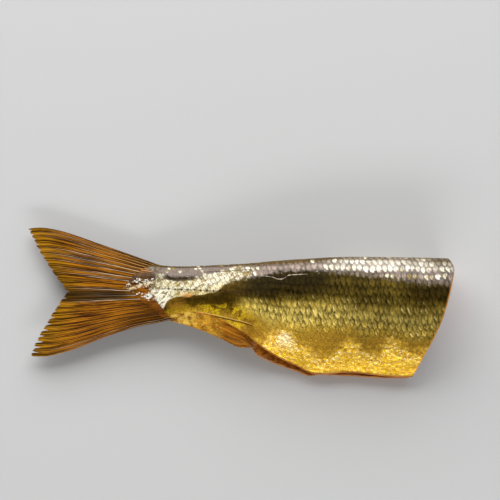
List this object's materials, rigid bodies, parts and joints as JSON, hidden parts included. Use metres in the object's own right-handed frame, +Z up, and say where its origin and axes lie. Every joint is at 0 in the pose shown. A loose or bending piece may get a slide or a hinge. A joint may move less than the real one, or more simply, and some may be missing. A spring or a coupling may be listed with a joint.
{
  "type": "smoked fish",
  "caption": "Tail half of a golden smoked fish lying on its side, with a forked tail fin, a folded anal fin, a gutted belly and a slanting knife cut.",
  "frame": {"origin": "under the middle of the bounding box, on the surface the fish rests on", "axes": "+X along the fish from the tail fin to the knife cut at the head end, +Y to the fish's back, +Z up from the flank it rests on"},
  "size_m": [0.2136, 0.076, 0.0286],
  "materials": {
    "skin": "oily golden fish skin with scales, dark olive along the back",
    "flesh": "moist smoked flesh at the cut",
    "fin": "dried amber fin membrane over bony rays",
    "bone": "dull bone"
  },
  "bodies": {
    "root": {"body": "skin", "backbone": "bone", "tail_fin": "fin", "anal_fin": "fin"}
  },
  "joints": []
}
